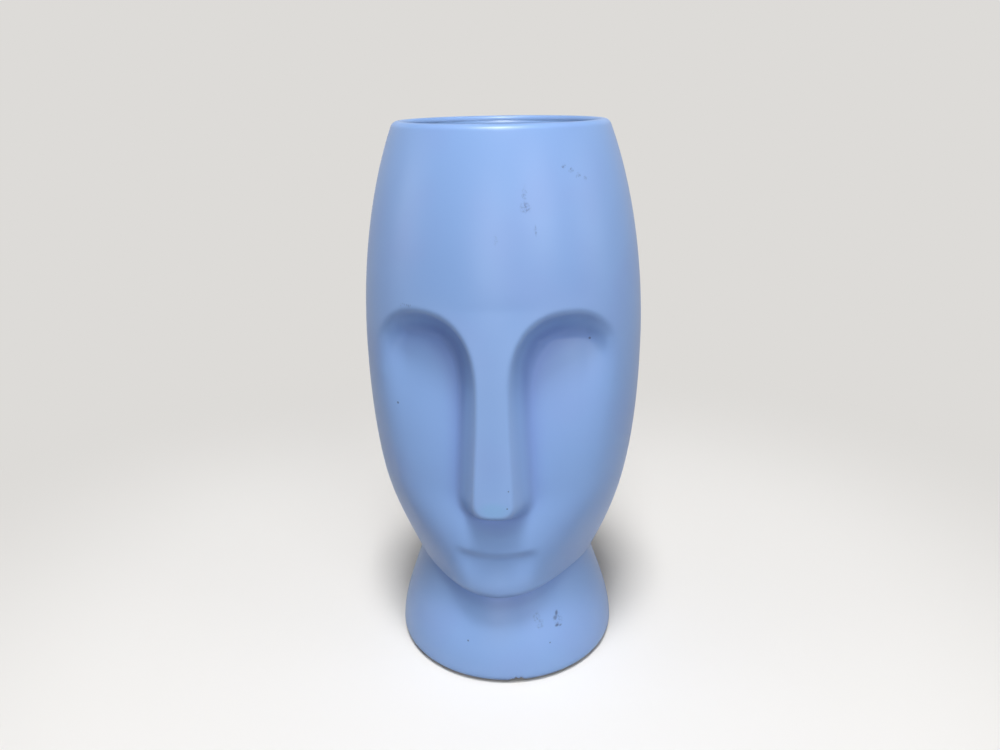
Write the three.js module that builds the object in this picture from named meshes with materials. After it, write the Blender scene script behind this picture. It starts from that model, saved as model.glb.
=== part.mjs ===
// Face vase: a slip-cast ceramic head on a flared neck, open at the top, standing on four thin stick-on pads.
// Millimetres, +Z up. The origin is on the table under the middle of the foot, and the face looks along -Y.
import * as THREE from "three";

// The standing vase
const overallHeight = 300; // table to the crest of the rim
const wall = 6; // thickness of the cast wall
const floorThickness = 7; // thickness of the cast floor
const floorCorner = 8; // rounding inside, where the wall meets the floor
const lipOuterRadius = 4; // rounding of the rim towards the outside
const lipInnerRadius = 2.1; // rounding of the rim towards the inside

// Head, from the rim down to the jaw
const rimRadius = 55.6; // outside of the rim, where its rounded lip begins
const headRadius = 75.2; // half width at the widest ring, and from the axis back to it
const headMiddle = 183; // height of the widest ring
const foreheadReach = 71.2; // from the axis forward to the widest ring
const jawHalfWidth = 52.4; // half width at the jaw
const jawHeight = 58; // height of the jaw at the sides
const jawMidRise = 2; // how much higher the jaw's edge lies midway between chin and side
const jawPlanPower = 1.6; // seen from below, the jaw is more pointed than an oval
const roundHeight = 120; // from here up, the head is a plain oval in plan
const chinReach = 69.3; // from the axis forward to the front of the chin
const chinHeight = 62.5; // height of the chin's lower front
const napeReach = 55; // from the axis back to the nape's overhang
const napeHeight = 84; // height of the nape's overhang
const jawEdgeRadius = 6.5; // rounding of the jaw's lower edge
const jawFilletRadius = 3; // fillet where the jaw's underside meets the neck
const throatDrop = 1.5; // from the jaw's edge down to where the neck's inside begins

// Neck and flared foot
const neckRadius = 46; // narrowest part of the neck
const neckHeight = 80; // height of the narrowest part
const footRadius = 64.6; // widest part of the foot
const footEdgeRadius = 3.2; // rounding of the foot's lower edge
const footRingWidth = 10; // width of the flat ring that the pads are stuck to
const footRecess = 3; // depth of the hollow inside the foot ring

// Foot pads
const padRadius = 4; // radius of one pad
const padThickness = 1.2; // thickness of one pad
const padNames = ["foot_pad_back_right", "foot_pad_back_left", "foot_pad_front_left", "foot_pad_front_right"];

// Brow: two arches that the nose's ridge runs up into
const browHeight = 218.8; // top of an arch
const browMiddle = 37; // from the face's middle line to the top of an arch
const browRise = 40.8; // height of an arch above the straight part of the nose
const browEndHalf = 31; // from the top of an arch to its outer end
const browTail = 30; // how far an arch's outer end runs on down
const browWall = 20; // width of the sloped wall under the brow

// Nose
const noseRootHalf = 6.6; // half width of the ridge at its root
const noseTipHalf = 9; // half width of the ridge at its tip
const noseEdgeHeight = 114.2; // height where the ridge rolls over into the nose's underside
const noseTipRise = 6.6; // how far the nose's tip stands out beyond the plain head
const noseCorner = 6.5; // rounding of the tip's two corners, seen from the front
const noseWall = 12.5; // width of the sloped side wall
const noseUnderWall = 10; // height of the rolled lower edge and the underside

// Cheeks and eye hollows
const cheekReach = 61.5; // from the axis forward to the flat of the cheeks
const cheekSpread = 100; // half width of the shallow oval that the cheeks follow
const cheekSoftness = 6; // rounding where cheek and head meet
const chinSwell = 7.5; // how much further forward than the cheeks the flat of the chin lies
const chinSoftness = 12; // rounding where the flat of the chin and the head meet
const socketSink = 9.5; // depth of an eye hollow below the cheek
const socketHigh = 200; // height down to which an eye hollow has its full depth
const socketLow = 125; // height where an eye hollow has run out into the cheek
const socketEnd = 66; // sideways place where an eye hollow ends in a point
const socketEndRun = 22; // the way over which it grows shallow towards that end

// Mouth: one soft crease
const mouthHeight = 80.3; // height of the crease at its middle
const mouthHalfWidth = 25;
const mouthDepth = 2.1;
const mouthRise = 3; // how far the ends of the crease turn up
const upperLipHeight = 6.5; // from the crease up to the full upper lip
const lowerLipHeight = 17; // from the crease down to the full chin

// Powers and shares that shape the curves
const archPower = 2.4;
const browEndPower = 2; // the outer half of an arch drops sooner than the half beside the nose
const sideOvalPower = 2.3;
const foreheadPower = 2.3; // makes the forehead run up to the rim at the lean of the sides
const noseRisePower = 1.1;
const socketFade = 2;
const socketShare = 0.17; // part of an arch's span over which an eye hollow deepens
const noseShares = { edge: 0.13, base: 0.3 }; // parts of the side wall's width that round its edge and foot
const browShares = { edge: 0.2, base: 0.4 }; // the same for the wall under the brow
const underShares = { edge: 0.6, base: 0.6 }; // the same for the nose's underside
const noseFootFill = 0.2; // how much wider the wall's foot swings out round the nose's lower corners
const jawEdgeShare = 0.5; // part of a narrow overhang that its rounded edge may take
const jawFilletShare = 0.35; // part of a narrow overhang that its fillet may take
const innerWallShare = 0.5; // part of the wall's thickness by which the relief is wider inside

// Fineness of the mesh: columns round one half, and rows from the chin up to the rim
const noseColumns = 7;
const cheekColumns = 7;
const templeColumns = 7;
const sideColumns = 3;
const backColumns = 7;
const noseAngle = THREE.MathUtils.degToRad(16);
const cheekAngle = THREE.MathUtils.degToRad(44);
const templeAngle = THREE.MathUtils.degToRad(68);
const headRows = [1, 3, 4, 2, 6, 5, 12, 6];
const innerHeadRows = [2, 3, 2, 2, 2];
const neckRows = 7;
const innerNeckRows = 3;
const edgeRows = 3;
const outerLipRows = 4;
const innerLipRows = 3;
const padSides = 24;

const clamp = THREE.MathUtils.clamp;
const lerp = THREE.MathUtils.lerp;
const quarterTurn = Math.PI / 2;
const archBase = browHeight - browRise;
const crownFlatness = (rimRadius / headRadius) ** 2;
const crownRun = overallHeight - lipOuterRadius / 2 - headMiddle;
const rimLean = Math.atan((headRadius * (1 - crownFlatness)) / (Math.sqrt(crownFlatness) * crownRun));
const rimShoulder = overallHeight - lipOuterRadius * (1 - Math.sin(rimLean));
const footTop = padThickness + footEdgeRadius;
const floorHeight = padThickness + footRecess + floorThickness;

function easeInOut(t) {
  const s = clamp(t, 0, 1);
  return s * s * (3 - 2 * s);
}

// A straight ramp from 0 to 1 whose two corners are rounded over the shares `start` and `end` of its length.
function roundedRamp(t, start, end) {
  const s = clamp(t, 0, 1);
  const slope = 1 / (1 - (start + end) / 2);
  if (s < start) return (slope * s * s) / (2 * start);
  if (s > 1 - end) return 1 - (slope * (1 - s) * (1 - s)) / (2 * end);
  return slope * (s - start / 2);
}

// The smaller of two lengths, with the corner between them rounded.
function softMin(a, b, softness) {
  const blend = clamp(1 / 2 + (b - a) / (2 * softness), 0, 1);
  return lerp(b, a, blend) - softness * blend * (1 - blend);
}

// An oval's reach from the axis: `full` at the height `middle`, `end` at the height `endHeight`.
function ovalReach(height, middle, full, endHeight, end, power = 2) {
  const away = Math.abs((height - middle) / (endHeight - middle));
  return full * Math.sqrt(1 - (1 - (end / full) ** 2) * away ** power);
}

function crownReach(height) {
  return ovalReach(height, headMiddle, headRadius, rimShoulder, rimRadius);
}

function sideReach(height) {
  if (height > headMiddle) return crownReach(height);
  return ovalReach(height, headMiddle, headRadius, jawHeight, jawHalfWidth, sideOvalPower);
}

function frontReach(height) {
  if (height < headMiddle) return ovalReach(height, headMiddle, foreheadReach, chinHeight, chinReach);
  return ovalReach(height, headMiddle, foreheadReach, rimShoulder, rimRadius, foreheadPower);
}

function backReach(height) {
  if (height > headMiddle) return crownReach(height);
  return ovalReach(height, headMiddle, headRadius, napeHeight, napeReach);
}

// The neck and the flare under it, as one smooth S.
function neckReach(height) {
  return lerp(footRadius, neckRadius, easeInOut((height - padThickness) / (neckHeight - padThickness)));
}

// A place on the front, seen from brow and nose. `beside` is the way to the edge of their ridge, below 0 on
// it. `width` and `shares` are those of the sloped wall there. `arch` is 0 in the middle of an arch and 1 at
// its edge.
function relief(x, height) {
  const side = Math.abs(x);
  const down = (archBase - height) / (archBase - noseEdgeHeight);
  const ridgeHalf = lerp(noseRootHalf, noseTipHalf, easeInOut(down));
  const half = side < browMiddle ? browMiddle - ridgeHalf : browEndHalf;
  const across = Math.abs(side - browMiddle) / half;
  if (height > archBase) {
    const up = (height - archBase) / browRise;
    const power = side < browMiddle ? archPower : browEndPower;
    const arch = (across ** power + up ** power) ** (1 / power);
    const upShare = up / (up + across);
    const beside = (1 - arch) * lerp(half, browRise, upShare);
    const width = lerp(noseWall, browWall, upShare);
    return { beside, width, shares: mix(noseShares, browShares, upShare), arch };
  }
  const past = side - (ridgeHalf - noseCorner);
  const below = noseEdgeHeight + noseCorner - height;
  const outside = Math.hypot(Math.max(past, 0), Math.max(below, 0));
  const nose = outside + Math.min(Math.max(past, below), 0) - noseCorner;
  const end = side > browMiddle ? easeInOut(1 - (archBase - height) / browTail) : 0;
  const beside = lerp(nose, (1 - across) * half, end);
  const under = below > 0 ? (below / outside) ** 2 : 0;
  const swing = 1 + noseFootFill * 4 * under * (1 - under);
  const width = lerp(noseWall, noseUnderWall, under) * swing;
  return { beside, width, shares: mix(noseShares, underShares, under), arch: across };
}

function mix(from, to, t) {
  return { edge: lerp(from.edge, to.edge, t), base: lerp(from.base, to.base, t) };
}

// An eye hollow is deep under the brow, and runs out into the cheek below and the temple beside it. Inside the
// wall it is wider by the inset.
function socketDepth(arch, side, height, inset) {
  const near = easeInOut((1 - arch + inset / browEndHalf) / socketShare);
  const inward = easeInOut((socketEnd - side) / socketEndRun);
  const upward = clamp((height - socketLow) / (socketHigh - socketLow), 0, 1) ** socketFade;
  return socketSink * near * inward * upward;
}

// The mouth's crease: how much the surface lies back there.
function mouthSink(x, height) {
  const across = Math.abs(x) / mouthHalfWidth;
  const above = height - (mouthHeight + mouthRise * across * across);
  const fade = above > 0 ? easeInOut(1 - above / upperLipHeight) : easeInOut(1 + above / lowerLipHeight);
  return mouthDepth * fade * easeInOut(2 * (1 - across));
}

// The reach of the face along -Y at a sideways place x, where the plain head reaches `front` times an oval.
// With an `inset` it is the inside of the wall: the same relief, drawn in and wider.
function faceReach(x, height, halfWidth, front, inset) {
  const awayFromChin = easeInOut((height - chinHeight) / (roundHeight - chinHeight));
  const planPower = lerp(jawPlanPower, 2, awayFromChin);
  const oval = Math.max(1 - (Math.abs(x) / halfWidth) ** planPower, 0) ** (1 / planPower);
  const { beside, width, shares, arch } = relief(x, height);
  const flatMiddle = lerp(cheekReach + chinSwell, cheekReach, awayFromChin) - inset;
  const flat = flatMiddle * Math.sqrt(Math.max(1 - (x / (cheekSpread - inset)) ** 2, 0));
  const sink = socketDepth(arch, Math.abs(x), height, inset) + mouthSink(x, height);
  const cheek = softMin(front * oval, flat, lerp(chinSoftness, cheekSoftness, awayFromChin)) - sink;
  const towardsTip = clamp((browHeight - height) / (browHeight - noseEdgeHeight), 0, 1);
  const nearNose = easeInOut((browMiddle - Math.abs(x)) / (browMiddle - noseTipHalf));
  const ridge = (front + noseTipRise * nearNose * towardsTip ** noseRisePower) * oval;
  const down = (beside + inset) / (width + inset * innerWallShare);
  return lerp(ridge, cheek, roundedRamp(down, shares.edge, shares.base));
}

// A point of the head. `level` is its height on the front. The same row lies higher at the back.
function headPoint(angle, level, inset) {
  const rise = (level - chinHeight) / (rimShoulder - chinHeight);
  const sideHeight = lerp(jawHeight, rimShoulder, rise);
  const halfWidth = sideReach(sideHeight) - inset;
  const x = halfWidth * Math.sin(angle);
  const forward = Math.cos(angle);
  if (forward < 0) {
    const backHeight = lerp(napeHeight, rimShoulder, rise);
    const y = -(backReach(backHeight) - inset) * forward;
    return new THREE.Vector3(x, y, lerp(sideHeight, backHeight, forward * forward));
  }
  const nearJaw = 1 - easeInOut((level - chinHeight) / (roundHeight - chinHeight));
  const height = lerp(sideHeight, level, forward * forward) + jawMidRise * nearJaw * Math.sin(2 * angle) ** 2;
  return new THREE.Vector3(x, -faceReach(x, height, halfWidth, frontReach(level) - inset, inset), height);
}

function roundPoint(angle, reach, height) {
  return new THREE.Vector3(reach * Math.sin(angle), -reach * Math.cos(angle), height);
}

// Foot: the recess under the floor, the flat ring and its rounded outer edge.
function footPoints(angle) {
  const ringOuter = neckReach(footTop) - footEdgeRadius;
  const ringInner = ringOuter - footRingWidth;
  const points = [
    roundPoint(angle, ringInner / 2, padThickness + footRecess),
    roundPoint(angle, ringInner - footRecess, padThickness + footRecess),
    roundPoint(angle, ringInner, padThickness),
  ];
  for (let i = 0; i < edgeRows; i++) {
    const turn = (quarterTurn * i) / edgeRows;
    const rise = footEdgeRadius * (1 - Math.cos(turn));
    points.push(roundPoint(angle, ringOuter + footEdgeRadius * Math.sin(turn), padThickness + rise));
  }
  return points;
}

// Neck and jaw: up the flare to a fillet, out along the jaw's underside and round its edge to the head's
// lowest row. `taper` is the head's slope there, where the rounding of the edge begins.
function neckPoints(angle) {
  const jaw = headPoint(angle, chinHeight, 0);
  const above = headPoint(angle, chinHeight + wall, 0);
  const reach = Math.hypot(jaw.x, jaw.y);
  const taper = Math.atan2(Math.hypot(above.x, above.y) - reach, above.z - jaw.z);
  const overhang = reach - neckReach(jaw.z - jawEdgeRadius);
  const edge = Math.min(jawEdgeRadius, jawEdgeShare * overhang);
  const fillet = Math.min(jawFilletRadius, jawFilletShare * overhang);
  const filletStart = jaw.z - edge * (1 - Math.sin(taper)) - fillet;
  const points = [];
  for (let i = 0; i < neckRows; i++) {
    const height = lerp(footTop, filletStart, i / neckRows);
    points.push(roundPoint(angle, neckReach(height), height));
  }
  for (let i = 0; i < edgeRows; i++) {
    const turn = (quarterTurn * i) / (edgeRows - 1);
    const filletReach = neckReach(filletStart) + fillet * (1 - Math.cos(turn));
    points.push(roundPoint(angle, filletReach, filletStart + fillet * Math.sin(turn)));
  }
  const neck = points[points.length - 1];
  const inward = new THREE.Vector3(neck.x - jaw.x, neck.y - jaw.y, 0).normalize();
  for (let i = 0; i < edgeRows; i++) {
    const turn = lerp(quarterTurn, taper, i / edgeRows);
    const point = jaw.clone().addScaledVector(inward, edge * (Math.cos(taper) - Math.cos(turn)));
    point.z += edge * (Math.sin(taper) - Math.sin(turn));
    points.push(point);
  }
  return points;
}

// Heights spaced evenly between the borders, with so many rows in each gap.
function spacedLevels(borders, rows) {
  const levels = [];
  rows.forEach((count, band) => {
    for (let i = 0; i < count; i++) levels.push(lerp(borders[band], borders[band + 1], i / count));
  });
  levels.push(borders[rows.length]);
  return levels;
}

// The rows of the head's outside, closer together at the mouth, the nose's tip and the brow.
function headLevels() {
  const borders = [
    chinHeight,
    mouthHeight - lowerLipHeight,
    mouthHeight,
    mouthHeight + upperLipHeight,
    noseEdgeHeight - noseUnderWall,
    noseEdgeHeight + noseCorner,
    archBase,
    browHeight + browWall / 2,
    rimShoulder,
  ];
  return spacedLevels(borders, headRows);
}

// The lip: a wide rounding outside and a narrow one inside. The wall leans inwards there by `rimLean`, and
// both roundings run into it without a crease.
function lipPoints(angle) {
  const points = [];
  const outerMiddle = rimRadius - lipOuterRadius * Math.cos(rimLean);
  for (let i = 1; i <= outerLipRows; i++) {
    const turn = lerp(rimLean, quarterTurn, i / outerLipRows);
    const height = overallHeight - lipOuterRadius * (1 - Math.sin(turn));
    points.push(roundPoint(angle, outerMiddle + lipOuterRadius * Math.cos(turn), height));
  }
  const rise = overallHeight - lipInnerRadius - rimShoulder;
  const innerMiddle = rimRadius - wall + (lipInnerRadius - rise * Math.sin(rimLean)) / Math.cos(rimLean);
  for (let i = 0; i <= innerLipRows; i++) {
    const turn = lerp(quarterTurn, Math.PI + rimLean, i / innerLipRows);
    const height = overallHeight - lipInnerRadius * (1 - Math.sin(turn));
    points.push(roundPoint(angle, innerMiddle + lipInnerRadius * Math.cos(turn), height));
  }
  return points;
}

// The inside of the wall, from the rim down through head and neck to the floor.
function innerPoints(angle) {
  const noseTop = noseEdgeHeight + noseCorner;
  const noseFoot = noseEdgeHeight - noseUnderWall;
  const borders = [rimShoulder, browHeight, archBase, noseTop, noseFoot, chinHeight + wall];
  const points = spacedLevels(borders, innerHeadRows).map((level) => headPoint(angle, level, wall));
  const throat = headPoint(angle, chinHeight, 0).z - throatDrop;
  const corner = floorHeight + floorCorner;
  for (let i = 0; i < innerNeckRows; i++) {
    const height = lerp(throat, corner, i / innerNeckRows);
    points.push(roundPoint(angle, neckReach(height) - wall, height));
  }
  const innerReach = neckReach(corner) - wall;
  for (let i = 0; i < edgeRows; i++) {
    const turn = (quarterTurn * i) / (edgeRows - 1);
    const reach = innerReach - floorCorner * (1 - Math.cos(turn));
    points.push(roundPoint(angle, reach, corner - floorCorner * Math.sin(turn)));
  }
  points.push(roundPoint(angle, innerReach / 2, floorHeight));
  return points;
}

// The angles of the mesh's columns: 0 at the face's middle, growing towards +X and round the back.
function columnAngles() {
  const borders = [0, noseAngle, cheekAngle, templeAngle, quarterTurn, Math.PI];
  const half = [];
  [noseColumns, cheekColumns, templeColumns, sideColumns, backColumns].forEach((count, band) => {
    for (let i = 0; i < count; i++) half.push(lerp(borders[band], borders[band + 1], i / count));
  });
  const otherHalf = half.slice(1).reverse();
  return [...half, Math.PI, ...otherHalf.map((angle) => 2 * Math.PI - angle)];
}

// Joins columns of points into one closed skin. Each column runs from the middle of the foot's recess up the
// outside, over the rim and down the inside to the middle of the floor. Each four points are split along the
// shorter diagonal, which lies along an edge of the relief rather than across it.
function skin(columns) {
  const positions = [];
  const index = [];
  const rowCount = columns[0].length;
  for (const column of columns) for (const point of column) positions.push(point.x, point.y, point.z);
  const bottom = columns.length * rowCount;
  const top = bottom + 1;
  positions.push(0, 0, columns[0][0].z, 0, 0, columns[0][rowCount - 1].z);
  columns.forEach((column, i) => {
    const nextColumn = columns[(i + 1) % columns.length];
    const here = i * rowCount;
    const next = ((i + 1) % columns.length) * rowCount;
    for (let j = 0; j < rowCount - 1; j++) {
      const rising = column[j].distanceTo(nextColumn[j + 1]);
      const falling = column[j + 1].distanceTo(nextColumn[j]);
      const corners = [here + j, next + j, next + j + 1, here + j + 1];
      const order = falling < rising ? [0, 1, 3, 1, 2, 3] : [0, 1, 2, 0, 2, 3];
      index.push(...order.map((corner) => corners[corner]));
    }
    index.push(bottom, next, here);
    index.push(top, here + rowCount - 1, next + rowCount - 1);
  });
  const geometry = new THREE.BufferGeometry();
  geometry.setAttribute("position", new THREE.Float32BufferAttribute(positions, 3));
  geometry.setIndex(index);
  geometry.computeVertexNormals();
  return geometry;
}

function vaseBody() {
  const columns = columnAngles().map((angle) => [
    ...footPoints(angle),
    ...neckPoints(angle),
    ...headLevels().map((level) => headPoint(angle, level, 0)),
    ...lipPoints(angle),
    ...innerPoints(angle),
  ]);
  return skin(columns);
}

// One pad, standing on the table with its top face against the foot ring.
function footPad(angle) {
  const ringMiddle = neckReach(footTop) - footEdgeRadius - footRingWidth / 2;
  const geometry = new THREE.CylinderGeometry(padRadius, padRadius, padThickness, padSides);
  geometry.rotateX(quarterTurn);
  geometry.translate(ringMiddle * Math.cos(angle), ringMiddle * Math.sin(angle), padThickness / 2);
  return geometry;
}

const glazedCeramic = new THREE.MeshStandardMaterial({ color: 0x87abea, roughness: 0.42, metalness: 0 });

const faceVase = new THREE.Group();
const body = new THREE.Mesh(vaseBody(), glazedCeramic);
body.name = "vase_body";
faceVase.add(body);

// The pads stand at the corners of a square; left and right are as seen from in front of the face.
padNames.forEach((name, i) => {
  const clearSilicone = new THREE.MeshStandardMaterial({ color: 0xd8dce2, roughness: 0.5, metalness: 0 });
  const angle = (quarterTurn * (2 * i + 1)) / 2;
  const pad = new THREE.Mesh(footPad(angle), clearSilicone);
  pad.name = name;
  faceVase.add(pad);
});

export default faceVase;
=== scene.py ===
# Face vase of glazed earthenware on four silicone pads, standing in a pale studio.
# Metres, +Z up. The face looks along -Y, and left and right are as seen from in front of it.
import math
from types import SimpleNamespace

import bpy
import numpy as np
from mathutils import Matrix, Vector


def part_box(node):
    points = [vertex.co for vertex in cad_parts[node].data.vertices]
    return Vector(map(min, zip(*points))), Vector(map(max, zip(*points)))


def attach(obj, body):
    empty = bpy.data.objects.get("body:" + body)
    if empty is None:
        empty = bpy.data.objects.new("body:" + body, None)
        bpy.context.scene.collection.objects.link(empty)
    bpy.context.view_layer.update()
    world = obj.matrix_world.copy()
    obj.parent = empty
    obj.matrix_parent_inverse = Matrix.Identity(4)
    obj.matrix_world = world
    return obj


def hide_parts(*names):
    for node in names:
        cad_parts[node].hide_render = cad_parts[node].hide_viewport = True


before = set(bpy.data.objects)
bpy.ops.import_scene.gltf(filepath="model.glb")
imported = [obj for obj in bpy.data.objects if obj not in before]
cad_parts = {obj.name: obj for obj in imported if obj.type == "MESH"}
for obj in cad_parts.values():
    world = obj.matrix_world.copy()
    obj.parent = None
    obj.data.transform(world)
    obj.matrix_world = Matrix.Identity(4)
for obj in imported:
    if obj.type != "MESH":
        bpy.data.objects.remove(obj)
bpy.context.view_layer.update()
print("frame loaded")

# Camera: a little above the rim, looking down at the face from slightly right of its middle
cameraView = {
    "distance": 0.4161,  # from the vase's axis
    "height": 0.3156,
    "sideStep": -0.0023,
    "turn": 5.1,  # degrees round the vase, towards +X
    "tilt": 20.3,  # degrees down
    "roll": -0.85,  # degrees
    "lens": 28.1,  # mm
    "sensorWidth": 36,  # mm
    "nearLimit": 0.01,
}


def makeCamera(view):
    turn, tilt = math.radians(view["turn"]), math.radians(view["tilt"])
    camera = bpy.data.objects.new("camera", bpy.data.cameras.new("camera"))
    camera.data.sensor_width = view["sensorWidth"]
    camera.data.lens = view["lens"]
    camera.data.clip_start = view["nearLimit"]
    bpy.context.scene.collection.objects.link(camera)
    right = Vector((math.cos(turn), math.sin(turn), 0))
    ahead = Vector((-math.sin(turn) * math.cos(tilt), math.cos(turn) * math.cos(tilt), -math.sin(tilt)))
    up = right.cross(ahead)
    place = right * view["sideStep"] + Vector((math.sin(turn), -math.cos(turn), 0)) * view["distance"]
    place.z = view["height"]
    rotation = Matrix((right, up, -ahead)).transposed() @ Matrix.Rotation(math.radians(view["roll"]), 3, "Z")
    camera.matrix_world = Matrix.Translation(place) @ rotation.to_4x4()
    bpy.context.scene.camera = camera


makeCamera(cameraView)
bpy.context.scene.view_settings.view_transform = "Standard"
print("camera placed")


# Small helpers for meshes and materials
mmPerMetre = 1000
tiny = 1e-6  # keeps a division from zero


def linearColour(code):
    # an sRGB hex code as linear red, green, blue and alpha
    parts = [int(code[i:i + 2], 16) / 255 for i in (1, 3, 5)]
    return tuple(p / 12.92 if p <= 0.04045 else ((p + 0.055) / 1.055) ** 2.4 for p in parts) + (1.0,)


def addNode(tree, kind, sockets={}, **settings):
    # a socket is given by its name or number, and gets a link or a plain value
    node = tree.nodes.new(kind)
    for name, value in settings.items():
        setattr(node, name, value)
    for key, value in sockets.items():
        if isinstance(value, bpy.types.NodeSocket):
            tree.links.new(value, node.inputs[key])
        else:
            node.inputs[key].default_value = value
    return node


def newMaterial(name):
    material = bpy.data.materials.new(name)
    material.use_nodes = True
    material.node_tree.nodes.clear()
    return material, material.node_tree


def newPiece(name, points, faces):
    mesh = bpy.data.meshes.new(name)
    mesh.from_pydata([tuple(p) for p in points], [], faces)
    mesh.update()
    mesh.shade_smooth()
    piece = bpy.data.objects.new(name, mesh)
    bpy.context.scene.collection.objects.link(piece)
    return piece


def turned(section, count, place):
    # points and faces of a half section turned round an upright axis, closed at its first ring
    turns = [2 * math.pi * i / count for i in range(count)]
    points = [
        (place.x + reach * math.cos(turn), place.y + reach * math.sin(turn), place.z + rise)
        for reach, rise in section for turn in turns
    ]
    faces = [tuple(reversed(range(count)))]
    for a in range(0, (len(section) - 1) * count, count):
        b = a + count
        for i in range(count):
            beside = (i + 1) % count
            faces.append((a + i, a + beside, b + beside, b + i))
    return points, faces


# The vase's sizes in millimetres, with the meanings that they have in the CAD part. A power shapes an oval or
# a fade, and a share is a part of a width.
vaseSizes = {
    # wall, floor and rim
    "overallHeight": 300, "wall": 6, "floorThickness": 7, "floorCorner": 8,
    "rimRadius": 55.6, "lipOuterRadius": 4, "lipInnerRadius": 2.1, "innerWallShare": 0.5,
    # head
    "headRadius": 75.2, "headMiddle": 183, "foreheadReach": 71.2, "foreheadPower": 2.3, "sideOvalPower": 2.3,
    "roundHeight": 120, "napeReach": 55, "napeHeight": 84,
    "cheekReach": 61.5, "cheekSpread": 100, "cheekSoftness": 6,
    "chinReach": 69.3, "chinHeight": 62.5, "chinSoftness": 12, "chinSwell": 7.5,
    "jawHalfWidth": 52.4, "jawHeight": 58, "jawMidRise": 2, "jawPlanPower": 1.6,
    "jawEdgeRadius": 6.5, "jawEdgeShare": 0.5, "jawFilletRadius": 3, "jawFilletShare": 0.35,
    "throatDrop": 1.5,
    # brows and nose; each pair of shares rounds the top and the foot of a sloped wall
    "browHeight": 218.8, "browMiddle": 37, "browRise": 40.8, "archPower": 2.4, "browShares": (0.2, 0.4),
    "browEndHalf": 31, "browEndPower": 2, "browTail": 30, "browWall": 20,
    "noseRootHalf": 6.6, "noseTipHalf": 9, "noseEdgeHeight": 114.2, "noseTipRise": 6.6, "noseRisePower": 1.1,
    "noseCorner": 6.5, "noseWall": 12.5, "noseUnderWall": 10, "noseFootFill": 0.2,
    "noseShares": (0.13, 0.3), "underShares": (0.6, 0.6),
    # eye hollows and mouth
    "socketSink": 9.5, "socketHigh": 200, "socketLow": 125, "socketFade": 2, "socketShare": 0.17,
    "socketEnd": 66, "socketEndRun": 22,
    "mouthHeight": 80.3, "mouthHalfWidth": 25, "mouthDepth": 2.1, "mouthRise": 3, "mouthEndSlope": 2,
    "upperLipHeight": 6.5, "lowerLipHeight": 17,
    # neck and foot
    "neckRadius": 46, "neckHeight": 80, "footRadius": 64.6, "footEdgeRadius": 3.2,
    "footRingWidth": 10, "footRecess": 3, "padThickness": 1.2,
    # fineness of the mesh: columns round the vase, and rows in each stretch of its half section
    "columns": 400, "headRows": 230, "innerHeadRows": 90, "neckRows": 46, "innerNeckRows": 16,
    "roundingRows": 8, "footRoundingRows": 12, "undersideRows": 4, "floorRings": 8,
    "smallestRing": 6,  # radius of the innermost ring of the floor and of the recess
    "faceCrowding": 0.35,  # how much closer together the columns are on the face
    # the knock in the foot's edge: its middle and half width in degrees, its height, and its depth at a reach
    # from the axis. Its top edge wanders as a sum of waves, each with a swing, radians per degree and a start.
    # The margin is how far inside the foot's rounding it begins, the slopes shape its sides and its top, and
    # the lift is how much its skin rises for each mm of depth
    "chipAngle": 9.5, "chipHalfWidth": 4.2, "chipHeight": 3.0, "chipDepth": 1.5, "chipReach": 64,
    "chipWaves": ((0.25, 2.3, 0), (0.15, 5.1, 1)), "chipMargin": 0.5,
    "chipSideSlope": 1.4, "chipTopSlope": 1.5, "chipLift": 0.55,
    # glaze
    "poolRounds": 220,  # how often the skin is smoothed to find its hollows and edges
    "poolLimit": 4,  # the deepest pool and the sharpest edge that count
    "wipedMargin": 1.2,  # how far the wiped band runs out past the foot ring
    "tolerance": 0.01,
}
v = SimpleNamespace(**vaseSizes)
archBase = v.browHeight - v.browRise
footTop = v.padThickness + v.footEdgeRadius
floorHeight = v.padThickness + v.footRecess + v.floorThickness
crownFlatness = (v.rimRadius / v.headRadius) ** 2
crownRun = v.overallHeight - v.lipOuterRadius / 2 - v.headMiddle
rimLean = math.atan(v.headRadius * (1 - crownFlatness) / (math.sqrt(crownFlatness) * crownRun))
rimShoulder = v.overallHeight - v.lipOuterRadius * (1 - math.sin(rimLean))


def mix(a, b, t):
    return a + (b - a) * t


def easeInOut(t):
    s = np.clip(t, 0, 1)
    return s * s * (3 - 2 * s)


def roundedRamp(t, start, end):
    # a straight ramp from 0 to 1 with both corners rounded
    s = np.clip(t, 0, 1)
    slope = 1 / (1 - (start + end) / 2)
    early = slope * s * s / (2 * start)
    late = 1 - slope * (1 - s) ** 2 / (2 * end)
    return np.where(s < start, early, np.where(s > 1 - end, late, slope * (s - start / 2)))


def softMin(a, b, softness):
    blend = np.clip(0.5 + (b - a) / (2 * softness), 0, 1)
    return mix(b, a, blend) - softness * blend * (1 - blend)


def ovalReach(height, middle, full, endHeight, end, power=2):
    away = np.abs((height - middle) / (endHeight - middle))
    return full * np.sqrt(np.maximum(1 - (1 - (end / full) ** 2) * away ** power, 0))


def headReach(height, endHeight, end, power=2):
    # the crown's oval above the widest ring, and the oval of the front, the side or the back below it
    crown = ovalReach(np.maximum(height, v.headMiddle), v.headMiddle, v.headRadius, rimShoulder, v.rimRadius)
    lower = ovalReach(np.minimum(height, v.headMiddle), v.headMiddle, v.headRadius, endHeight, end, power)
    return np.where(height > v.headMiddle, crown, lower)


def frontReach(height):
    above, below = np.maximum(height, v.headMiddle), np.minimum(height, v.headMiddle)
    crown = ovalReach(above, v.headMiddle, v.foreheadReach, rimShoulder, v.rimRadius, v.foreheadPower)
    lower = ovalReach(below, v.headMiddle, v.foreheadReach, v.chinHeight, v.chinReach)
    return np.where(height > v.headMiddle, crown, lower)


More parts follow.
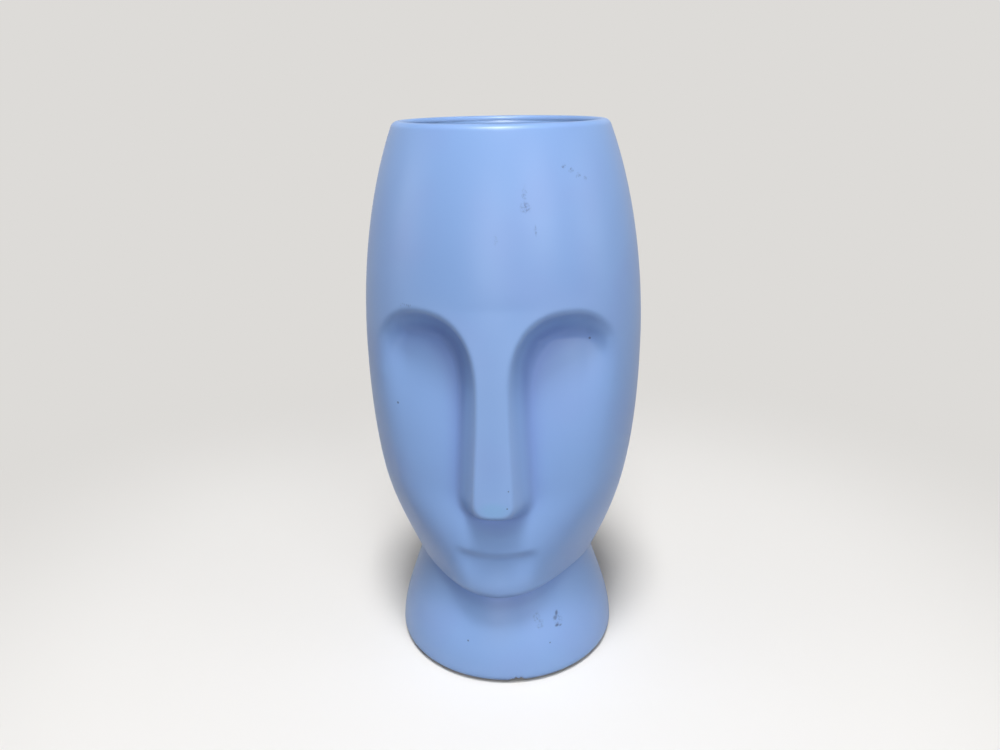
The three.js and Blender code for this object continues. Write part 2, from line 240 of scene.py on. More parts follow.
def neckReach(height):
    rise = (height - v.padThickness) / (v.neckHeight - v.padThickness)
    return mix(v.footRadius, v.neckRadius, easeInOut(rise))


def relief(x, height):
    # how far it is to the edge of brow and nose, how wide the sloped wall is there, its two roundings, and
    # the arch, which is 1 on the brow's edge
    side = np.abs(x)
    down = (archBase - height) / (archBase - v.noseEdgeHeight)
    ridgeHalf = mix(v.noseRootHalf, v.noseTipHalf, easeInOut(down))
    nearNose = side < v.browMiddle
    half = np.where(nearNose, v.browMiddle - ridgeHalf, v.browEndHalf)
    across = np.abs(side - v.browMiddle) / half
    up = np.maximum(height - archBase, 0) / v.browRise
    power = np.where(nearNose, v.archPower, v.browEndPower)
    arch = (across ** power + up ** power) ** (1 / power)
    upShare = up / np.maximum(up + across, tiny)
    browBeside = (1 - arch) * mix(half, v.browRise, upShare)
    past = side - (ridgeHalf - v.noseCorner)
    below = v.noseEdgeHeight + v.noseCorner - height
    outside = np.hypot(np.maximum(past, 0), np.maximum(below, 0))
    noseBeside = outside + np.minimum(np.maximum(past, below), 0) - v.noseCorner
    tail = np.where(nearNose, 0, easeInOut(1 - (archBase - height) / v.browTail))
    noseBeside = mix(noseBeside, (1 - across) * half, tail)
    under = (np.maximum(below, 0) / np.maximum(outside, tiny)) ** 2
    high = height > archBase
    beside = np.where(high, browBeside, noseBeside)
    noseWidth = mix(v.noseWall, v.noseUnderWall, under) * (1 + v.noseFootFill * 4 * under * (1 - under))
    width = np.where(high, mix(v.noseWall, v.browWall, upShare), noseWidth)
    start, end = [
        np.where(high, mix(nose, brow, upShare), mix(nose, tip, under))
        for nose, brow, tip in zip(v.noseShares, v.browShares, v.underShares)
    ]
    return beside, width, start, end, arch


def mouthSink(x, height):
    across = np.abs(x) / v.mouthHalfWidth
    above = height - (v.mouthHeight + v.mouthRise * across * across)
    upper, lower = easeInOut(1 - above / v.upperLipHeight), easeInOut(1 + above / v.lowerLipHeight)
    return v.mouthDepth * np.where(above > 0, upper, lower) * easeInOut(v.mouthEndSlope * (1 - across))


def faceReach(x, height, halfWidth, front, inset):
    awayFromChin = easeInOut((height - v.chinHeight) / (v.roundHeight - v.chinHeight))
    planPower = mix(v.jawPlanPower, 2, awayFromChin)
    oval = np.maximum(1 - (np.abs(x) / halfWidth) ** planPower, 0) ** (1 / planPower)
    beside, width, start, end, arch = relief(x, height)
    flatMiddle = v.cheekReach + v.chinSwell * (1 - awayFromChin) - inset
    flat = flatMiddle * np.sqrt(np.maximum(1 - (x / (v.cheekSpread - inset)) ** 2, 0))
    near = easeInOut((1 - arch + inset / v.browEndHalf) / v.socketShare)
    near = near * easeInOut((v.socketEnd - np.abs(x)) / v.socketEndRun)
    upward = np.clip((height - v.socketLow) / (v.socketHigh - v.socketLow), 0, 1)
    socket = v.socketSink * near * upward ** v.socketFade
    cheek = softMin(front * oval, flat, mix(v.chinSoftness, v.cheekSoftness, awayFromChin))
    cheek = cheek - socket - mouthSink(x, height)
    towardsTip = np.clip((v.browHeight - height) / (v.browHeight - v.noseEdgeHeight), 0, 1)
    nearNose = easeInOut((v.browMiddle - np.abs(x)) / (v.browMiddle - v.noseTipHalf))
    ridge = (front + v.noseTipRise * nearNose * towardsTip ** v.noseRisePower) * oval
    return mix(ridge, cheek, roundedRamp((beside + inset) / (width + inset * v.innerWallShare), start, end))


def headRow(angles, level, inset=0):
    # one row of the head; it lies higher at the back than on the front
    rise = (level - v.chinHeight) / (rimShoulder - v.chinHeight)
    sideHeight = mix(v.jawHeight, rimShoulder, rise)
    backHeight = mix(v.napeHeight, rimShoulder, rise)
    halfWidth = headReach(sideHeight, v.jawHeight, v.jawHalfWidth, v.sideOvalPower) - inset
    x = halfWidth * np.sin(angles)
    forward = np.cos(angles)
    nearJaw = 1 - easeInOut((level - v.chinHeight) / (v.roundHeight - v.chinHeight))
    frontZ = mix(sideHeight, level, forward ** 2) + v.jawMidRise * nearJaw * np.sin(2 * angles) ** 2
    frontY = -faceReach(x, frontZ, halfWidth, frontReach(level) - inset, inset)
    backY = -(headReach(backHeight, v.napeHeight, v.napeReach) - inset) * forward
    backZ = mix(sideHeight, backHeight, forward ** 2)
    isBack = forward < 0
    return np.stack([x, np.where(isBack, backY, frontY), np.where(isBack, backZ, frontZ)], -1)


def roundRow(angles, reach, height):
    ones = np.ones_like(angles)
    return np.stack([reach * np.sin(angles), -reach * np.cos(angles), height * ones], -1)


def footRows(angles):
    ringOuter = neckReach(footTop) - v.footEdgeRadius
    ringInner = ringOuter - v.footRingWidth
    recess = v.padThickness + v.footRecess
    rings = np.linspace(v.smallestRing, ringInner - v.footRecess, v.floorRings)
    rows = [roundRow(angles, reach, recess) for reach in rings]
    for turn in np.linspace(0, math.pi / 2, v.roundingRows)[1:]:  # cove from the recess to the ring
        reach = ringInner - v.footRecess * math.cos(turn)
        rows.append(roundRow(angles, reach, recess - v.footRecess * math.sin(turn)))
    for turn in np.linspace(0, math.pi / 2, v.footRoundingRows)[:-1]:
        height = v.padThickness + v.footEdgeRadius * (1 - math.cos(turn))
        rows.append(roundRow(angles, ringOuter + v.footEdgeRadius * math.sin(turn), height))
    return rows


def neckRows(angles):
    # up the flare, round the fillet, out along the jaw's underside and round the jaw's edge
    jaw = headRow(angles, v.chinHeight)
    above = headRow(angles, v.chinHeight + v.wall)
    reach = np.hypot(jaw[:, 0], jaw[:, 1])
    taper = np.arctan2(np.hypot(above[:, 0], above[:, 1]) - reach, above[:, 2] - jaw[:, 2])
    overhang = reach - neckReach(jaw[:, 2] - v.jawEdgeRadius)
    edge = np.minimum(v.jawEdgeRadius, v.jawEdgeShare * overhang)
    fillet = np.minimum(v.jawFilletRadius, v.jawFilletShare * overhang)
    filletStart = jaw[:, 2] - edge * (1 - np.sin(taper)) - fillet
    rows = []
    for t in np.linspace(0, 1, v.neckRows, endpoint=False):
        height = mix(footTop, filletStart, t)
        rows.append(roundRow(angles, neckReach(height), height))
    for turn in np.linspace(0, math.pi / 2, v.roundingRows):
        filletReach = neckReach(filletStart) + fillet * (1 - math.cos(turn))
        rows.append(roundRow(angles, filletReach, filletStart + fillet * math.sin(turn)))
    neck = rows[-1]
    inward = neck - jaw
    inward[:, 2] = 0
    inward /= np.linalg.norm(inward, axis=1)[:, None]
    edgeRows = []
    for t in np.linspace(0, 1, v.roundingRows, endpoint=False):
        turn = mix(math.pi / 2, taper, t)
        point = jaw + inward * (edge * (np.cos(taper) - np.cos(turn)))[:, None]
        point[:, 2] += edge * (np.sin(taper) - np.sin(turn))
        edgeRows.append(point)
    rows += [mix(neck, edgeRows[0], t) for t in np.linspace(0, 1, v.undersideRows + 2)[1:-1]]
    return rows + edgeRows


def lipRows(angles):
    # a wide rounding outside and a narrow one inside, both running into the leaning wall
    rows = []
    outerMiddle = v.rimRadius - v.lipOuterRadius * math.cos(rimLean)
    for turn in np.linspace(rimLean, math.pi / 2, v.roundingRows + 1)[1:]:
        height = v.overallHeight - v.lipOuterRadius * (1 - math.sin(turn))
        rows.append(roundRow(angles, outerMiddle + v.lipOuterRadius * math.cos(turn), height))
    rise = v.overallHeight - v.lipInnerRadius - rimShoulder
    innerMiddle = v.rimRadius - v.wall + (v.lipInnerRadius - rise * math.sin(rimLean)) / math.cos(rimLean)
    for turn in np.linspace(math.pi / 2, math.pi + rimLean, v.roundingRows):
        height = v.overallHeight - v.lipInnerRadius * (1 - math.sin(turn))
        rows.append(roundRow(angles, innerMiddle + v.lipInnerRadius * math.cos(turn), height))
    return rows


def innerRows(angles):
    lowest = v.chinHeight + v.wall
    rows = [headRow(angles, level, v.wall) for level in np.linspace(rimShoulder, lowest, v.innerHeadRows)]
    throat = headRow(angles, v.chinHeight)[:, 2] - v.throatDrop
    corner = floorHeight + v.floorCorner
    for t in np.linspace(0, 1, v.innerNeckRows, endpoint=False):
        height = mix(throat, corner, t)
        rows.append(roundRow(angles, neckReach(height) - v.wall, height))
    innerReach = neckReach(corner) - v.wall
    for turn in np.linspace(0, math.pi / 2, v.roundingRows):
        height = corner - v.floorCorner * math.sin(turn)
        rows.append(roundRow(angles, innerReach - v.floorCorner * (1 - math.cos(turn)), height))
    for reach in np.linspace(innerReach - v.floorCorner, v.smallestRing, v.floorRings)[1:]:
        rows.append(roundRow(angles, reach, floorHeight))
    return rows


def knockedFoot(grid):
    # a shallow knock in the foot's lower edge, where a flake of glaze and clay has come off
    around = np.degrees(np.arctan2(grid[..., 0], -grid[..., 1]))
    across = (around - v.chipAngle) / v.chipHalfWidth
    ragged = 1 + sum(swing * np.sin(around * rate + start) for swing, rate, start in v.chipWaves)
    upward = (grid[..., 2] - v.padThickness) / (v.chipHeight * ragged)
    innermost = neckReach(footTop) - v.footEdgeRadius - v.chipMargin
    outer = np.hypot(grid[..., 0], grid[..., 1]) > innermost
    sideways = easeInOut(v.chipSideSlope * (1 - np.abs(across)))
    depth = v.chipDepth * sideways * easeInOut(v.chipTopSlope * (1 - upward)) * outer
    grid[..., :2] *= 1 - (depth / v.chipReach)[..., None]
    grid[..., 2] += v.chipLift * depth
    return depth


def glazePooling(grid, outerRows):
    # how far the surface lies below its own smoothed self: above 0 in hollows, where glaze gathers, and below
    # 0 on edges, where it runs thin
    smooth = grid[:outerRows].copy()
    for _ in range(v.poolRounds):
        smooth[1:-1] = (2 * smooth[1:-1] + smooth[:-2] + smooth[2:]) / 4
        smooth = (2 * smooth + np.roll(smooth, 1, 1) + np.roll(smooth, -1, 1)) / 4
    outward = grid[:outerRows].copy()
    outward[..., 2] = 0
    outward /= np.maximum(np.linalg.norm(outward, axis=-1), tiny)[..., None]
    pool = np.zeros(grid.shape[:2])
    pool[:outerRows] = np.einsum("ijk,ijk->ij", smooth - grid[:outerRows], outward)
    return np.clip(pool, -v.poolLimit, v.poolLimit)


def makeVase():
    t = np.arange(v.columns) / v.columns
    angles = 2 * math.pi * t - v.faceCrowding * np.sin(2 * math.pi * t)
    lower = footRows(angles) + neckRows(angles)
    head = [headRow(angles, level) for level in np.linspace(v.chinHeight, rimShoulder, v.headRows)]
    lip = lipRows(angles)
    grid = np.array(lower + head + lip + innerRows(angles))
    chip = knockedFoot(grid)
    rowCount, columnCount = grid.shape[:2]
    pool = glazePooling(grid, len(lower) + len(head) + len(lip))
    ends = [[0, 0, grid[0, 0, 2]], [0, 0, grid[-1, 0, 2]]]
    points = np.concatenate([grid.reshape(-1, 3), ends]) / mmPerMetre
    here = np.arange(columnCount)
    beside = np.roll(here, -1)
    faces = []
    for row in range(rowCount - 1):
        a, b = row * columnCount, (row + 1) * columnCount
        faces += np.stack([a + here, a + beside, b + beside, b + here], -1).tolist()
    bottom, top = rowCount * columnCount, rowCount * columnCount + 1
    last = (rowCount - 1) * columnCount
    faces += np.stack([np.full(columnCount, bottom), beside, here], -1).tolist()
    faces += np.stack([np.full(columnCount, top), last + here, last + beside], -1).tolist()
    vase = newPiece("vase", points, faces)
    mesh = vase.data
    for name, values in (("glazePool", pool), ("bareClay", chip)):
        attribute = mesh.attributes.new(name, "FLOAT", "POINT")
        attribute.data.foreach_set("value", np.append(values.ravel(), [0, 0]).astype(np.float32))
    # the foot ring and its recess are wiped clean of glaze, so that the vase doesn't stick in the kiln
    centres = np.zeros(len(mesh.polygons) * 3)
    mesh.polygons.foreach_get("center", centres)
    centres = centres.reshape(-1, 3) * mmPerMetre
    spread = np.hypot(centres[:, 0], centres[:, 1])
    low = centres[:, 2] < v.padThickness + v.footRecess + v.tolerance
    inside = spread < neckReach(footTop) - v.footEdgeRadius + v.wipedMargin
    mesh.polygons.foreach_set("material_index", (low & inside).astype(np.int32))
    return vase


vase = makeVase()
print("vase shaped:", len(vase.data.polygons), "faces")

glazeLooks = {
    "glaze": "#8aade2",
    "ior": 1.5,
    "roughness": 0.33,
    # tints of the glaze, and the clay in the knock: colour, where it begins and is fullest, and its most.
    # These places are in the clouds' noise, then in mm that the surface lies below its smoothed self, and for
    # the clay in mm of the knock's depth
    "clouds": ("#8aaae0", 0.42, 0.72, 1.0),
    "pooledGlaze": ("#7088cc", 0.0, 3.5, 0.45),
    "thinGlaze": ("#a6c6f4", -0.3, -3.5, 0.22),
    "bareClay": ("#e9e2d6", 0.55, 0.7, 1.0),
    "tealGlaze": "#7fb6de",
    "scuff": "#5f6f9a",
    "speck": "#3d4560",
    # patterns: mm between their marks, detail and roughness
    "patterns": {
        "clouds": (34, 2.0, 0.4),
        "grit": (1.1, 3.0, 0.7),  # the broken look of a rub
        "bends": (4.5, 3.0, 0.6),  # the wandering outline of a rub
        "waves": (22, 1.0, 0.4),
        "peel": (2.6, 1.0, 0.5),  # orange peel, drawn coarser than real so that it shows
    },
    "bend": 1.5,  # mm that the outline of a rub wanders
    "gritSpan": (0.44, 0.62, 0.1),  # where the grit in a rub begins and is full in its noise, and its least
    "cloudRoughness": 0.08,
    "rubRoughness": 0.35,
    "waveBump": (0.25, 0.8),  # strength and height in mm
    "peelBump": (0.12, 0.06),
    # how a mark fades, from its edge to its core, as parts of its half sizes
    "tealFade": (1.0, 0.3), "rubFade": (1.0, 0.35), "dabFade": (1.4, 0.3), "speckFade": (1.1, 0.5),
    "speckDepth": 3,  # how much further a speck reaches into the wall than along it
    "speckStrength": 0.75,
    # a greener pool of glaze on the nose's tip: place on the vase and half sizes in mm, and strength
    "tealPools": [((0.5, -77.0, 118.0), (10.5, 9, 6), 0.4)],
    # grey rubs, listed alike
    "rubs": [
        ((15.7, -63.5, 264.8), (3.2, 4, 3.6), 0.6),
        ((15.2, -62.2, 270.9), (1.6, 4, 4.5), 0.45),
        ((20.5, -64.3, 254.7), (0.9, 4, 3.6), 0.5),
        ((2.1, -68.1, 250.8), (1.6, 4, 3.0), 0.3),
        ((32.7, -51.7, 281.6), (1.3, 4, 1.8), 0.8),
        ((36.0, -50.3, 279.3), (1.5, 4, 1.2), 0.8),
        ((39.2, -48.6, 277.4), (1.7, 4, 1.2), 0.7),
        ((42.3, -46.7, 275.4), (1.3, 4, 1.6), 0.6),
        ((-43.0, -58.3, 218.0), (5.0, 4, 0.9), 0.6),
        ((20.8, -52.6, 37.3), (2.6, 4, 4.2), 0.5),
        ((22.8, -53.3, 33.2), (2.8, 4, 3.2), 0.55),
        ((33.0, -48.2, 33.0), (3.6, 4, 5.4), 0.4),
    ],
    # dark dabs of dirt, listed alike
    "dabs": [
        ((31.8, -47.0, 36.5), (0.8, 3, 1.5), 0.7),
        ((31.2, -48.2, 34.4), (1.2, 3, 1.1), 0.5),
        ((32.3, -49.2, 30.0), (1.2, 3, 0.8), 0.7),
        ((34.2, -48.5, 29.4), (0.8, 3, 0.6), 0.5),
    ],
    # dark specks: place on the vase and radius in mm
    "specks": [
        ((-50.8, -49.7, 163.9), 0.75),
        ((46.4, -45.3, 198.6), 0.75),
        ((7.8, -76.1, 128.7), 0.45),
        ((7.1, -76.7, 119.3), 0.5),
        ((-44.9, -56.9, 217.2), 0.5),
        ((-39.5, -60.2, 218.4), 0.45),
        ((-17.3, -58.4, 23.9), 0.6),
        ((28.5, -53.5, 21.8), 0.6),
    ],
}


def ovalMarks(tree, position, marks, fade):
    # how strongly a place is covered by the strongest of some oval marks
    edge, core = fade
    strongest = 0.0
    for place, halfSizes, strength in marks:
        offset = addNode(tree, "ShaderNodeVectorMath", {
            0: position, 1: Vector(place) / mmPerMetre,
        }, operation="SUBTRACT").outputs[0]
        stretched = addNode(tree, "ShaderNodeVectorMath", {
            0: offset, 1: Vector(mmPerMetre / half for half in halfSizes),
        }, operation="MULTIPLY").outputs[0]
        away = addNode(tree, "ShaderNodeVectorMath", {0: stretched}, operation="LENGTH").outputs["Value"]
        share = addNode(tree, "ShaderNodeMapRange", {
            "Value": away, "From Min": edge, "From Max": core, "To Max": strength,
        }, interpolation_type="SMOOTHSTEP").outputs["Result"]
        strongest = addNode(tree, "ShaderNodeMath", {0: share, 1: strongest}, operation="MAXIMUM").outputs[0]
    return strongest


def rubbedShare(tree, position, noises, looks):
    # rubs with wandering outlines, broken up by grit
    reach = looks["bend"] / mmPerMetre
    shift = addNode(tree, "ShaderNodeVectorMath", {
        0: noises["bends"]["Color"], 1: (2 * reach, 2 * reach, 2 * reach), 2: (-reach, -reach, -reach),
    }, operation="MULTIPLY_ADD").outputs[0]
    wandering = addNode(tree, "ShaderNodeVectorMath", {0: position, 1: shift}, operation="ADD").outputs[0]
    rub = ovalMarks(tree, wandering, looks["rubs"], looks["rubFade"])
    begins, full, least = looks["gritSpan"]
    patchy = addNode(tree, "ShaderNodeMapRange", {
        "Value": noises["grit"]["Fac"], "From Min": begins, "From Max": full, "To Min": least,
    }, interpolation_type="SMOOTHSTEP").outputs["Result"]
    return addNode(tree, "ShaderNodeMath", {0: rub, 1: patchy}, operation="MULTIPLY").outputs[0]


def glazedEarthenware(looks):
    # slip-cast earthenware dipped in a satin glaze: soft wide highlights, paler where the glaze runs thin
    # over an edge, a deeper blue where it gathers, and dull grey where it has been rubbed
    material, tree = newMaterial("glazedEarthenware")
    position = addNode(tree, "ShaderNodeTexCoord").outputs["Object"]
    pool = addNode(tree, "ShaderNodeAttribute", attribute_name="glazePool").outputs["Fac"]
    chip = addNode(tree, "ShaderNodeAttribute", attribute_name="bareClay").outputs["Fac"]
    noises = {}
    for name, (size, detail, roughness) in looks["patterns"].items():
        noises[name] = addNode(tree, "ShaderNodeTexNoise", {
            "Vector": position, "Scale": mmPerMetre / size, "Detail": detail, "Roughness": roughness,
        }).outputs
    clouds = noises["clouds"]["Fac"]
    tints = []
    for name, source in (("clouds", clouds), ("pooledGlaze", pool), ("thinGlaze", pool), ("bareClay", chip)):
        tint, begins, full, most = looks[name]
        share = addNode(tree, "ShaderNodeMapRange", {
            "Value": source, "From Min": begins, "From Max": full, "To Max": most,
        }, interpolation_type="SMOOTHSTEP").outputs["Result"]
        tints.append((share, tint))
    teal = ovalMarks(tree, position, looks["tealPools"], looks["tealFade"])
    rubbed = rubbedShare(tree, position, noises, looks)
    dabs = ovalMarks(tree, position, looks["dabs"], looks["dabFade"])
    ovals = [(place, (r, r * looks["speckDepth"], r), looks["speckStrength"]) for place, r in looks["specks"]]
    specks = ovalMarks(tree, position, ovals, looks["speckFade"])
    dark = addNode(tree, "ShaderNodeMath", {0: dabs, 1: specks}, operation="MAXIMUM").outputs[0]
    marks = [(teal, looks["tealGlaze"]), (rubbed, looks["scuff"]), (dark, looks["speck"])]
    colour = linearColour(looks["glaze"])
    for share, tint in tints[:-1] + marks + tints[-1:]:  # the bare clay comes last
        colour = addNode(tree, "ShaderNodeMix", {
            0: share, 6: colour, 7: linearColour(tint),
        }, data_type="RGBA").outputs[2]
    rougher = addNode(tree, "ShaderNodeMath", {
        0: rubbed, 1: looks["rubRoughness"], 2: looks["roughness"],
    }, operation="MULTIPLY_ADD").outputs[0]
    roughness = addNode(tree, "ShaderNodeMath", {
        0: clouds, 1: looks["cloudRoughness"], 2: rougher,
    }, operation="MULTIPLY_ADD").outputs[0]
    strength, height = looks["waveBump"]
    broad = addNode(tree, "ShaderNodeBump", {
        "Strength": strength, "Distance": height / mmPerMetre, "Height": noises["waves"]["Fac"],
    }).outputs["Normal"]
    strength, height = looks["peelBump"]
    fine = addNode(tree, "ShaderNodeBump", {
        "Strength": strength, "Distance": height / mmPerMetre, "Height": noises["peel"]["Fac"],
        "Normal": broad,
    }).outputs["Normal"]
    shader = addNode(tree, "ShaderNodeBsdfPrincipled", {
        "Base Color": colour, "Roughness": roughness, "IOR": looks["ior"], "Normal": fine,
    })
    addNode(tree, "ShaderNodeOutputMaterial", {"Surface": shader.outputs[0]})
    return material


bareClayLooks = {
    "clay": "#ded6c8",
    "shade": "#c9bfae",
    "shadeSpan": (0.4, 0.65),  # where the shade begins and is full in the grain's noise
    "grain": (0.9, 4.0, 0.65),  # mm between grains, coarser than real so that they show, detail and roughness
    "grainBump": (0.5, 0.2),  # strength and height in mm
    "roughness": 0.88,
    "ior": 1.5,
}


def bareEarthenware(looks):
    # the same clay where the glaze was wiped off: a chalky, matt off-white with fine grain
    material, tree = newMaterial("bareEarthenware")
    position = addNode(tree, "ShaderNodeTexCoord").outputs["Object"]
    size, detail, roughness = looks["grain"]
    grain = addNode(tree, "ShaderNodeTexNoise", {
        "Vector": position, "Scale": mmPerMetre / size, "Detail": detail, "Roughness": roughness,
    }).outputs["Fac"]
    begins, full = looks["shadeSpan"]
    share = addNode(tree, "ShaderNodeMapRange", {
        "Value": grain, "From Min": begins, "From Max": full,
    }, interpolation_type="SMOOTHSTEP").outputs["Result"]
    colour = addNode(tree, "ShaderNodeMix", {
        0: share, 6: linearColour(looks["clay"]), 7: linearColour(looks["shade"]),
    }, data_type="RGBA").outputs[2]
    strength, height = looks["grainBump"]
    bump = addNode(tree, "ShaderNodeBump", {
        "Strength": strength, "Distance": height / mmPerMetre, "Height": grain,
    }).outputs["Normal"]
    shader = addNode(tree, "ShaderNodeBsdfPrincipled", {
        "Base Color": colour, "Roughness": looks["roughness"], "IOR": looks["ior"], "Normal": bump,
    })
    addNode(tree, "ShaderNodeOutputMaterial", {"Surface": shader.outputs[0]})
    return material


vase.data.materials.append(glazedEarthenware(glazeLooks))
vase.data.materials.append(bareEarthenware(bareClayLooks))
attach(vase, "root")
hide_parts("vase_body")
print("vase glazed")

# Foot pads: four small moulded discs under the foot ring
padLooks = {
    "sides": 48,
    "edgeRounding": 0.35,  # mm, round the lower edge
    "edgeSteps": 5,
    "innerRing": 0.5,  # the next three are parts of the radius and of the height
    "waistHeight": 0.6,
    "topRadius": 0.985,
    "silicone": "#e4e8ec",
    "dust": "#c4c3bf",
    "dustGrain": (1.5, 3.0, 0.7),  # mm between specks of dust, detail and roughness
    "dustSpan": (0.55, 0.75),  # where the dust begins and is full in its noise
    "roughness": (0.35, 0.65),  # clean and dusty
    "roughnessSpan": (0.4, 0.8),
    "ior": 1.41,
    "transmission": 0.45,
}


def clearSilicone(looks):
    # moulded clear silicone: milky and soft, with a faint sheen and a little dust held in its surface
    material, tree = newMaterial("clearSilicone")
    position = addNode(tree, "ShaderNodeTexCoord").outputs["Object"]
    size, detail, roughness = looks["dustGrain"]
    dust = addNode(tree, "ShaderNodeTexNoise", {
        "Vector": position, "Scale": mmPerMetre / size, "Detail": detail, "Roughness": roughness,
    }).outputs["Fac"]
    begins, full = looks["dustSpan"]
    share = addNode(tree, "ShaderNodeMapRange", {
        "Value": dust, "From Min": begins, "From Max": full,
    }, interpolation_type="SMOOTHSTEP").outputs["Result"]
    colour = addNode(tree, "ShaderNodeMix", {
        0: share, 6: linearColour(looks["silicone"]), 7: linearColour(looks["dust"]),
    }, data_type="RGBA").outputs[2]
    begins, full = looks["roughnessSpan"]
    clean, dusty = looks["roughness"]
    roughness = addNode(tree, "ShaderNodeMapRange", {
        "Value": dust, "From Min": begins, "From Max": full, "To Min": clean, "To Max": dusty,
    }, interpolation_type="SMOOTHSTEP").outputs["Result"]
    shader = addNode(tree, "ShaderNodeBsdfPrincipled", {
        "Base Color": colour, "Roughness": roughness, "IOR": looks["ior"],
        "Transmission Weight": looks["transmission"],
    })
    addNode(tree, "ShaderNodeOutputMaterial", {"Surface": shader.outputs[0]})
    return material


def makePad(node, looks, material):
    low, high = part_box(node)
    middle = (low + high) / 2
    radius, height = (high.x - low.x) / 2, high.z - low.z
    rounding = looks["edgeRounding"] / mmPerMetre
    innerRing = radius * looks["innerRing"]
    # half section from the middle of the underside out and up to the middle of the top
    section = [(innerRing, 0)]
    for turn in np.linspace(0, math.pi / 2, looks["edgeSteps"]):
        section.append((radius - rounding * (1 - math.sin(turn)), rounding * (1 - math.cos(turn))))
    section.append((radius, height * looks["waistHeight"]))
    section.append((radius * looks["topRadius"], height))
    section.append((innerRing, height))
    count = looks["sides"]
    points, faces = turned(section, count, Vector((middle.x, middle.y, low.z)))
    faces.append(tuple((len(section) - 1) * count + i for i in range(count)))
    pad = newPiece(node.replace("foot_pad", "siliconePad"), points, faces)
    pad.data.materials.append(material)
    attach(pad, "root")
    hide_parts(node)


silicone = clearSilicone(padLooks)
for padNode in sorted(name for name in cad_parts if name.startswith("foot_pad")):
    makePad(padNode, padLooks, silicone)
print("pads made")

# Studio: a round paper floor that fades into an even backdrop, and square lamps
studio = {
    "innerRings": (0.02, 0.3, 0.8),  # radii of rings of the floor
    "floorRadius": 3.0,
    "sweepRadius": 0.5,
    "sweepSteps": 24,
    "wallHeight": 2.2,
    "sides": 96,
    "paper": "#efedea",
    "backdrop": "#dddbd8",  # shown as it is, without light
    "fade": (0.22, 0.5),  # where the lit floor begins to fade and is even backdrop, from the vase's axis
    "bouncedPaper": "#36425a",  # what the paper throws back onto the vase, so that hollows stay deep
    "paperRoughness": 0.9,
    "paperSheen": 0.2,
    "fibre": (3.0, 4.0, 0.6),  # mm between fibres, coarser than real so that they show, detail and roughness
    "fibreBump": (0.05, 0.3),  # strength and height in mm
    "skyStrength": 0.02,
    "lampDistance": 2.6,  # from the middle of the vase
    # degrees round the vase from its front towards +X, degrees up, width and watts
    "lamps": {
        "topLamp": (0, 75, 0.6, 52),
        "highLamp": (4, 58, 0.7, 17),
        "frontLamp": (-4, 9, 1.1, 14),
        "rightLamp": (34, 16, 1.1, 15),
        "farLeftLamp": (-80, 10, 1.1, 7),
        "farRightLamp": (80, 10, 1.1, 7.5),
    },
}


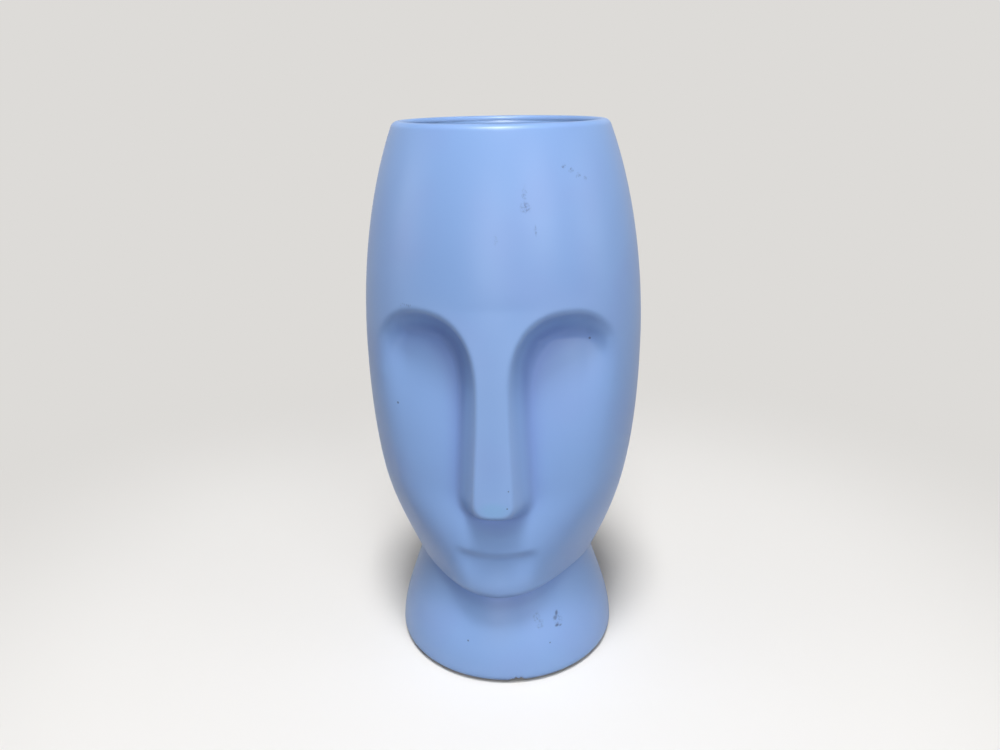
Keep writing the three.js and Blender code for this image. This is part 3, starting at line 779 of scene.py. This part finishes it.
def studioPaper(looks):
    # matt paper roll: almost no sheen and a very faint fibre
    material, tree = newMaterial("studioPaper")
    position = addNode(tree, "ShaderNodeTexCoord").outputs["Object"]
    size, detail, roughness = looks["fibre"]
    fibre = addNode(tree, "ShaderNodeTexNoise", {
        "Vector": position, "Scale": mmPerMetre / size, "Detail": detail, "Roughness": roughness,
    }).outputs["Fac"]
    strength, height = looks["fibreBump"]
    bump = addNode(tree, "ShaderNodeBump", {
        "Strength": strength, "Distance": height / mmPerMetre, "Height": fibre,
    }).outputs["Normal"]
    path = addNode(tree, "ShaderNodeLightPath").outputs
    seen = 0.0
    for ray in ("Is Camera Ray", "Is Glossy Ray", "Is Transmission Ray"):
        seen = addNode(tree, "ShaderNodeMath", {0: path[ray], 1: seen}, operation="MAXIMUM").outputs[0]
    colour = addNode(tree, "ShaderNodeMix", {
        0: seen, 6: linearColour(looks["bouncedPaper"]), 7: linearColour(looks["paper"]),
    }, data_type="RGBA").outputs[2]
    shader = addNode(tree, "ShaderNodeBsdfPrincipled", {
        "Base Color": colour, "Roughness": looks["paperRoughness"],
        "Specular IOR Level": looks["paperSheen"], "Normal": bump,
    })
    away = addNode(tree, "ShaderNodeVectorMath", {0: position}, operation="LENGTH").outputs["Value"]
    begins, full = looks["fade"]
    faded = addNode(tree, "ShaderNodeMapRange", {
        "Value": away, "From Min": begins, "From Max": full,
    }, interpolation_type="SMOOTHSTEP").outputs["Result"]
    share = addNode(tree, "ShaderNodeMath", {0: faded, 1: seen}, operation="MULTIPLY").outputs[0]
    glow = addNode(tree, "ShaderNodeEmission", {"Color": linearColour(looks["backdrop"]), "Strength": 1.0})
    mixed = addNode(tree, "ShaderNodeMixShader", {0: share, 1: shader.outputs[0], 2: glow.outputs[0]})
    addNode(tree, "ShaderNodeOutputMaterial", {"Surface": mixed.outputs[0]})
    return material


def makeStudio(looks):
    # a round floor whose edge sweeps up into a wall, open to the sky
    section = [(reach, 0) for reach in (*looks["innerRings"], looks["floorRadius"])]
    for turn in np.linspace(0, math.pi / 2, looks["sweepSteps"])[1:]:
        reach = looks["floorRadius"] + looks["sweepRadius"] * math.sin(turn)
        section.append((reach, looks["sweepRadius"] * (1 - math.cos(turn))))
    section.append((section[-1][0], looks["wallHeight"]))
    points, faces = turned(section, looks["sides"], Vector((0, 0, 0)))
    floor = newPiece("studioFloor", points, [face[::-1] for face in faces])  # seen from inside
    floor.data.materials.append(studioPaper(looks))
    sky = bpy.data.worlds.new("studioSky")
    sky.use_nodes = True
    background = sky.node_tree.nodes["Background"].inputs
    background["Color"].default_value = (1, 1, 1, 1)
    background["Strength"].default_value = looks["skyStrength"]
    bpy.context.scene.world = sky
    middle = Vector((0, 0, v.overallHeight / 2 / mmPerMetre))
    for name, (around, up, width, power) in looks["lamps"].items():
        around, up = math.radians(around), math.radians(up)
        towards = Vector((math.sin(around) * math.cos(up), -math.cos(around) * math.cos(up), math.sin(up)))
        lamp = bpy.data.lights.new(name, "AREA")
        lamp.shape = "SQUARE"
        lamp.size = width
        lamp.energy = power
        holder = bpy.data.objects.new(name, lamp)
        holder.location = middle + towards * looks["lampDistance"]
        holder.rotation_euler = towards.to_track_quat("Z", "Y").to_euler()
        bpy.context.scene.collection.objects.link(holder)


makeStudio(studio)
print("studio lit")
